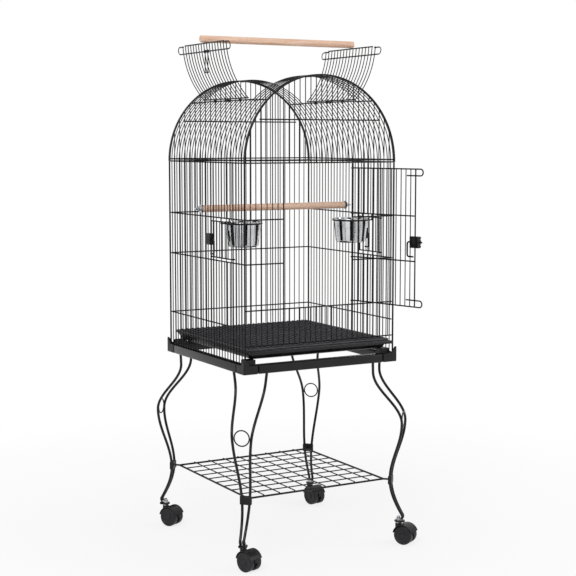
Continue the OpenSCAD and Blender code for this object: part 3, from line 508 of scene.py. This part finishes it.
def addClips(s):
    # A block round the rods at the leg's waist, as high as the CAD band
    low, high = (np.array(v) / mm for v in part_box("leg_bands"))
    reach = legShape["corner"] - legShape["waistIn"]
    halfDepth, halfWidth = s["depth"] / 2, s["width"] / 2
    block = roundedBlock((reach - halfDepth, -halfWidth, low[2]), (reach + halfDepth, halfWidth, high[2]),
                         s["round"])
    clips = [turned(block, angle) for angle in cornerTurns]
    piece = addPiece("leg_clips", clips, "cage", ["leg_bands"], sharpAngle=50)
    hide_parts("leg_bands")
    print("clips: 4")


addClips(clipShape)


# Foot plates: tabs with round ends under the curled rods, bored for the caster stems
footPlate = dict(inner=313.0, outer=341.0, width=22.0, low=56.0, high=60.0, round=1.0, endFlat=0.5,
                 edgeRows=5, endSteps=8)


def addFootPlates(s):
    # A level plate whose edges are quarter circles and whose ends are nearly half circles
    bend = np.linspace(0, np.pi / 2, s["edgeRows"])
    inset = s["round"] * np.concatenate([1 - np.sin(bend), (1 - np.sin(bend))[::-1]])
    rise = s["round"] * (1 - np.cos(bend))
    z = np.concatenate([s["low"] + rise, s["high"] - rise[::-1]])
    half = s["width"] / 2
    tab = roundedRows(s["inner"] + inset, s["outer"] - inset, inset - half, half - inset,
                      half - inset - s["endFlat"], z, s["endSteps"])
    piece = addPiece("foot_tabs", [turned(tab, angle) for angle in cornerTurns], "cage", ["foot_plates"])
    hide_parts("foot_plates")
    print("foot tabs: 4")


addFootPlates(footPlate)


# Rails: square tubes with rolled corners, run into the corner caps
railShape = dict(width=24.0, round=3.0, endIn=42.0)


def addRails(s):
    low, high = (np.array(v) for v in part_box("stand_rails"))
    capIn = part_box("corner_caps")[0][0]
    end = -capIn - s["endIn"] * mm  # the tubes stop inside the caps' arms
    width, edge = s["width"] * mm, s["round"] * mm
    shells = []
    for side in (-1, 1):
        near, far = sorted((side * high[0], side * (high[0] - width)))
        shells.append(roundedBlock((-end, near, low[2]), (end, far, high[2]), edge))
        shells.append(roundedBlock((near, -end, low[2]), (far, end, high[2]), edge))
    piece = addPiece("rail_tubes", shells, "cage", ["stand_rails"], sharpAngle=50)
    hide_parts("stand_rails")
    print("rails: 4 tubes")


addRails(railShape)


# Tray: a shallow moulding with sloped walls, round corners, a turned-out rim and a pull along its front
trayShape = dict(wall=2.5, draft=14.0, lip=14.0, lipDrop=8.0, lipRound=2.2, lipLap=3.0, lipBelow=0.2,
                 corner=12.0, cornerTaper=0.3, leastCorner=2.0, cornerSteps=6, footRound=4.0, footRows=6,
                 rim=3.0, rimOut=2.6, rimEdge=0.4, rimRise=0.8, rimRound=0.6, innerLean=2.0)


def addTray(s):
    low, high = (np.array(v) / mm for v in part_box("tray"))
    front, back = low[1] + s["lip"], high[1]
    bend = np.linspace(0, np.pi / 2, s["footRows"])
    height = high[2] - low[2]
    # heights and insets of the outer wall from the foot up, then of the inner wall down again
    footRise = s["footRound"] * (1 - np.cos(bend))
    footIn = s["draft"] + s["footRound"] * (1 - np.sin(bend)) - s["draft"] * footRise / height
    rimLow, rimSide, inner = height - s["rim"], height - s["rimRise"], s["draft"] + s["wall"]
    rimTop = s["wall"] - s["rimRound"]
    z = np.concatenate([footRise, [rimLow, rimLow, rimSide, height, height],
                        [rimSide, s["wall"] + s["footRound"], s["wall"]]])
    inset = np.concatenate([footIn, [s["rimOut"], s["rimEdge"], 0.0, s["rimRound"], rimTop],
                            [s["wall"], inner - s["innerLean"], inner + s["footRound"]]])
    corner = np.maximum(s["corner"] - s["cornerTaper"] * inset, s["leastCorner"])
    shell = roundedRows(low[0] + inset, high[0] - inset, front + inset, back - inset, corner, low[2] + z,
                        s["cornerSteps"])
    pull = roundedBlock((low[0], low[1], high[2] - s["lipDrop"]),
                        (high[0], front + s["lipLap"], high[2] - s["lipBelow"]), s["lipRound"])
    piece = addPiece("tray_moulding", [shell * mm, pull * mm], "tray", ["tray"], sharpAngle=35)
    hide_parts("tray")
    print("tray: walls and pull")


addTray(trayShape)


# Grate: thin wires under the bars make its square mesh
meshWire = dict(diameter=2.0, gaps=26, inset=3.0, lift=0.6, sides=8)


def addGrateMesh(s):
    # Straight wires across the grate, evenly spaced from front to back
    low, high = (np.array(v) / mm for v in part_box("grate"))
    level = low[2] + s["diameter"] / 2 + s["lift"]
    spots = np.linspace(low[1], high[1], s["gaps"] + 1)[1:-1]
    left, right = low[0] + s["inset"], high[0] - s["inset"]
    radius = s["diameter"] / 2 * mm
    paths = [np.array([[left, y, level], [right, y, level]]) * mm for y in spots]
    wires = [tubeAlong(path, radius, s["sides"]) for path in paths]
    piece = addPiece("grate_cross_wires", wires, "grate", ["grate"], sharpAngle=60)
    # the cross wires carry the grate's painted sheen too
    piece.data.materials[0] = grateFinishPaintedSheen
    print("grate:", len(wires), "cross wires")


addGrateMesh(meshWire)


# Casters: twin wheels with round shoulders, a dished face and a raised hub
wheelShape = dict(radius=25.0, width=15.0, gap=10.0, shoulder=4.0, edge=1.0, bendRows=8, axle=3.0,
                  hub=7.5, hubDrop=0.6, hubFlat=1.2, hubStep=1.0, hubFlare=0.4, dish=2.4, dishRise=0.3,
                  dishShare=0.66, lipShare=0.74, lipDrop=0.3, faceShare=0.78, sides=56, stubSides=24)


def wheelProfile(s):
    # (radius, distance from the middle of the caster) from the hub, over the tread, to the inner face
    outer, inner = s["gap"] / 2 + s["width"], s["gap"] / 2
    bend = np.linspace(0, np.pi / 2, s["bendRows"])
    shoulder = np.stack([s["radius"] - s["shoulder"] * (1 - np.sin(bend)),
                         outer - s["shoulder"] * (1 - np.cos(bend))], -1)
    edge = np.stack([s["radius"] - s["edge"] * (1 - np.cos(bend)),
                     inner + s["edge"] * (1 - np.sin(bend))], -1)
    hubTop, dishFloor = outer - s["hubDrop"], outer - s["dish"]
    face = [[0, hubTop], [s["hub"] - s["hubFlat"], hubTop], [s["hub"], hubTop - s["hubStep"]],
            [s["hub"] + s["hubFlare"], dishFloor], [s["radius"] * s["dishShare"], dishFloor + s["dishRise"]],
            [s["radius"] * s["lipShare"], outer - s["lipDrop"]], [s["radius"] * s["faceShare"], outer]]
    return np.concatenate([face, shoulder, edge, [[0, inner]]])


def addWheels(s):
    # One profile turned round the axle, and again the other way, with a stub between
    profile = wheelProfile(s) * mm
    half = s["gap"] / 2
    stub = np.array([[0, -half], [s["axle"], -half], [s["axle"], half], [0, half]]) * mm
    for corner in corners:
        roll = joints["caster_roll_" + corner]
        centre, axis = np.array(roll["pos_m"]), np.array(roll["axis"])
        axis /= np.linalg.norm(axis)
        shells = [revolved(profile, centre, axis, s["sides"]), revolved(profile, centre, -axis, s["sides"]),
                  revolved(stub, centre, axis, s["stubSides"])]
        name = "caster_wheels_" + corner
        piece = addPiece("twin_" + name, shells, name, [name], sharpAngle=35)
        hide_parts(name)
    print("casters: 4 pairs of wheels")


addWheels(wheelShape)


# Cups: spun steel with a rounded foot and a rolled rim
cupShape = dict(foot=39.0, mouth=44.0, wall=1.2, footRound=7.0, footRows=8, dent=0.6, dentIn=4.0,
                wallRows=14, flare=1.0, rim=3.0, rimIn=0.6, rimFall=1.2, bead=1.5, beadRows=10, sides=72)


def addCups(s):
    # The sheet's outline, up its outside from the middle of the foot, over the rim and down its inside
    bend = np.linspace(0, np.pi / 2, s["footRows"])
    roll = np.linspace(-np.pi / 2, np.pi / 2, s["beadRows"])
    for side in ("left", "right"):
        node = side + "_cup"
        low, high = (np.array(v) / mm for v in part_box(node))
        height = high[2] - low[2]
        rimLow = height - s["rim"]
        beadOut = (high[0] - low[0]) / 2 - s["bead"]
        dent = [[0, s["dent"]], [s["foot"] - s["footRound"] - s["dentIn"], s["dent"]]]
        footCurve = np.stack([s["foot"] - s["footRound"] * (1 - np.sin(bend)),
                              s["footRound"] * (1 - np.cos(bend))], -1)
        # close rows keep the wall's shading straight below the rim
        wall = np.linspace(footCurve[-1], [s["mouth"], rimLow - s["flare"]], s["wallRows"])[1:]
        flare = [[s["mouth"] + s["flare"], rimLow]]
        bead = np.stack([beadOut + s["bead"] * np.cos(roll),
                         height - s["bead"] + s["bead"] * np.sin(roll)], -1)
        brim = [[s["mouth"] + s["rimIn"], height], [s["mouth"] - s["wall"], height - s["rimFall"]]]
        inner = footCurve[::-1] + [-s["wall"], s["wall"]]
        profile = np.concatenate([dent, footCurve, wall, flare, bead, brim, inner, [[0, s["wall"]]]]) * mm
        centre = ((low + high) / 2 * [1, 1, 0] + low * [0, 0, 1]) * mm
        shells = [revolved(profile, centre, sides=s["sides"])]
        piece = addPiece(side + "_spun_cup", shells, "cage", [node], sharpAngle=50)
        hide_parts(node)
    print("cups: 2")


addCups(cupShape)


# Perches: turned dowels with eased ends
perchShape = dict(easing=1.6, easingRows=5, sides=40)


def addPerch(node, body, s):
    # A straight outline with a quarter circle at each end, turned round X
    low, high = (np.array(v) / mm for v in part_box(node))
    radius = (high[2] - low[2]) / 2
    bend = np.linspace(0, np.pi / 2, s["easingRows"])
    drop = s["easing"] * (1 - np.sin(bend))
    step = s["easing"] * (1 - np.cos(bend))
    x = np.concatenate([low[0] + step, high[0] - step[::-1]])
    radii = radius - np.concatenate([drop, drop[::-1]])
    profile = np.stack([radii, x], -1) * mm
    centre = ((low + high) / 2 * [0, 1, 1]) * mm
    shells = [revolved(profile, centre, (1, 0, 0), s["sides"])]
    piece = addPiece(node + "_dowel", shells, body, [node], sharpAngle=50)
    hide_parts(node)


addPerch("top_perch", "top_perch", perchShape)
addPerch("inner_perch", "cage", perchShape)
print("perches: 2")


# Moulded pieces whose edges are rounded, with the rounding in millimetres
mouldedEdges = {"corner_caps": 1.6, "main_door_latch": 0.8, "left_feeder_latch": 0.8,
                "right_feeder_latch": 0.8}
mouldedEdges.update({"caster_hood_" + corner: 0.8 for corner in corners})
for name, width in mouldedEdges.items():
    softened(name, width, edgeShape)
print("moulded pieces:", len(mouldedEdges))


# Studio: a pale floor, a white surround and two soft lamps
studio = dict(floorSize=60.0, paper="#f4f4f4", ambient=0.55, floorGlow=0.8, shadowReach=(0.4, 1.6))


def seenDirectly(tree):
    # 1 for what the camera, a reflection or a clear surface sees, 0 for what only lights the object
    path = addNode(tree, "ShaderNodeLightPath")
    shown = {0: path.outputs["Is Camera Ray"], 1: path.outputs["Is Glossy Ray"]}
    either = addNode(tree, "ShaderNodeMath", shown, operation="MAXIMUM")
    clear = {0: either.outputs[0], 1: path.outputs["Is Transmission Ray"]}
    return addNode(tree, "ShaderNodeMath", clear, operation="MAXIMUM").outputs[0]


def addStudio(s):
    world = bpy.data.worlds.new("white surround")
    bpy.context.scene.world = world
    world.use_nodes = True
    tree = world.node_tree
    tree.nodes.clear()
    strength = addNode(tree, "ShaderNodeMapRange", {0: seenDirectly(tree), 3: s["ambient"], 4: 1.0})
    sky = addNode(tree, "ShaderNodeBackground", {"Color": (1, 1, 1, 1), "Strength": strength.outputs[0]})
    addNode(tree, "ShaderNodeOutputWorld", {"Surface": sky.outputs[0]})

    paper = bpy.data.materials.new("floor paper")
    paper.use_nodes = True
    tree = paper.node_tree
    tree.nodes.clear()
    matt = addNode(tree, "ShaderNodeBsdfDiffuse", {"Color": hexColor(s["paper"])})
    glow = addNode(tree, "ShaderNodeEmission", {"Color": (1, 1, 1, 1)})
    # the paper shows shadows near the object and turns to plain white further out
    spot = addNode(tree, "ShaderNodeTexCoord")
    away = addNode(tree, "ShaderNodeVectorMath", {0: spot.outputs["Object"]}, operation="LENGTH")
    near, far = s["shadowReach"]
    span = {0: away.outputs["Value"], 1: near, 2: far, 3: s["floorGlow"], 4: 1.0}
    fade = addNode(tree, "ShaderNodeMapRange", span)
    faded = {0: seenDirectly(tree), 1: fade.outputs[0]}
    share = addNode(tree, "ShaderNodeMath", faded, operation="MULTIPLY")
    layers = {0: share.outputs[0], 1: matt.outputs[0], 2: glow.outputs[0]}
    both = addNode(tree, "ShaderNodeMixShader", layers)
    addNode(tree, "ShaderNodeOutputMaterial", {"Surface": both.outputs[0]})
    half = s["floorSize"] / 2
    sheet = [(-half, -half, 0), (half, -half, 0), (half, half, 0), (-half, half, 0)]
    mesh = bpy.data.meshes.new("floor")
    mesh.from_pydata(sheet, [], [(0, 1, 2, 3)])
    mesh.materials.append(paper)
    floor = bpy.data.objects.new("floor", mesh)
    bpy.context.scene.collection.objects.link(floor)


# Lamps: soft squares that face the middle of the object, in metres and watts
lampAim = Vector((0, 0, 0.7))
lamps = dict(key=dict(place=(-2.4, -2.2, 3.0), size=1.6, power=60),
             fill=dict(place=(2.8, -1.6, 1.8), size=1.8, power=26))


def addLamp(name, s):
    lamp = bpy.data.objects.new(name, bpy.data.lights.new(name, "AREA"))
    lamp.data.size = s["size"]
    lamp.data.energy = s["power"]
    lamp.location = s["place"]
    lamp.rotation_euler = (lampAim - Vector(s["place"])).to_track_quat("-Z", "Y").to_euler()
    bpy.context.scene.collection.objects.link(lamp)


# Flags: tall dark panels that only reflections see, which give polished metal its upright bands
flagShape = dict(distance=1.7, width=0.8, height=3.2, turns=(-105, -18, 75, 165), shade="#0c0c0d")


def addFlags(s):
    # Upright panels in a ring, each square to its direction from the middle
    cloth = bpy.data.materials.new("black flag cloth")
    cloth.use_nodes = True
    cloth.node_tree.nodes.clear()
    matt = addNode(cloth.node_tree, "ShaderNodeBsdfDiffuse", {"Color": hexColor(s["shade"])})
    addNode(cloth.node_tree, "ShaderNodeOutputMaterial", {"Surface": matt.outputs[0]})
    turn = np.radians(s["turns"])
    middle = s["distance"] * np.stack([np.sin(turn), -np.cos(turn), 0 * turn], -1)
    side = s["width"] / 2 * np.stack([np.cos(turn), np.sin(turn), 0 * turn], -1)
    up = np.array([0, 0, s["height"]])
    edges = [middle - side, middle + side, middle + side + up, middle - side + up]
    points = np.stack(edges, 1).reshape(-1, 3)
    mesh = bpy.data.meshes.new("flags")
    mesh.from_pydata(points.tolist(), [], np.arange(len(points)).reshape(-1, 4).tolist())
    mesh.materials.append(cloth)
    panels = bpy.data.objects.new("flags", mesh)
    bpy.context.scene.collection.objects.link(panels)
    panels.visible_camera = False
    panels.visible_diffuse = False
    panels.visible_shadow = False
    panels.visible_transmission = False


addStudio(studio)
addFlags(flagShape)
for name, lamp in lamps.items():
    addLamp(name, lamp)
bpy.context.scene.view_settings.view_transform = "Standard"
print("studio: floor, surround,", len(flagShape["turns"]), "flags and", len(lamps), "lamps")
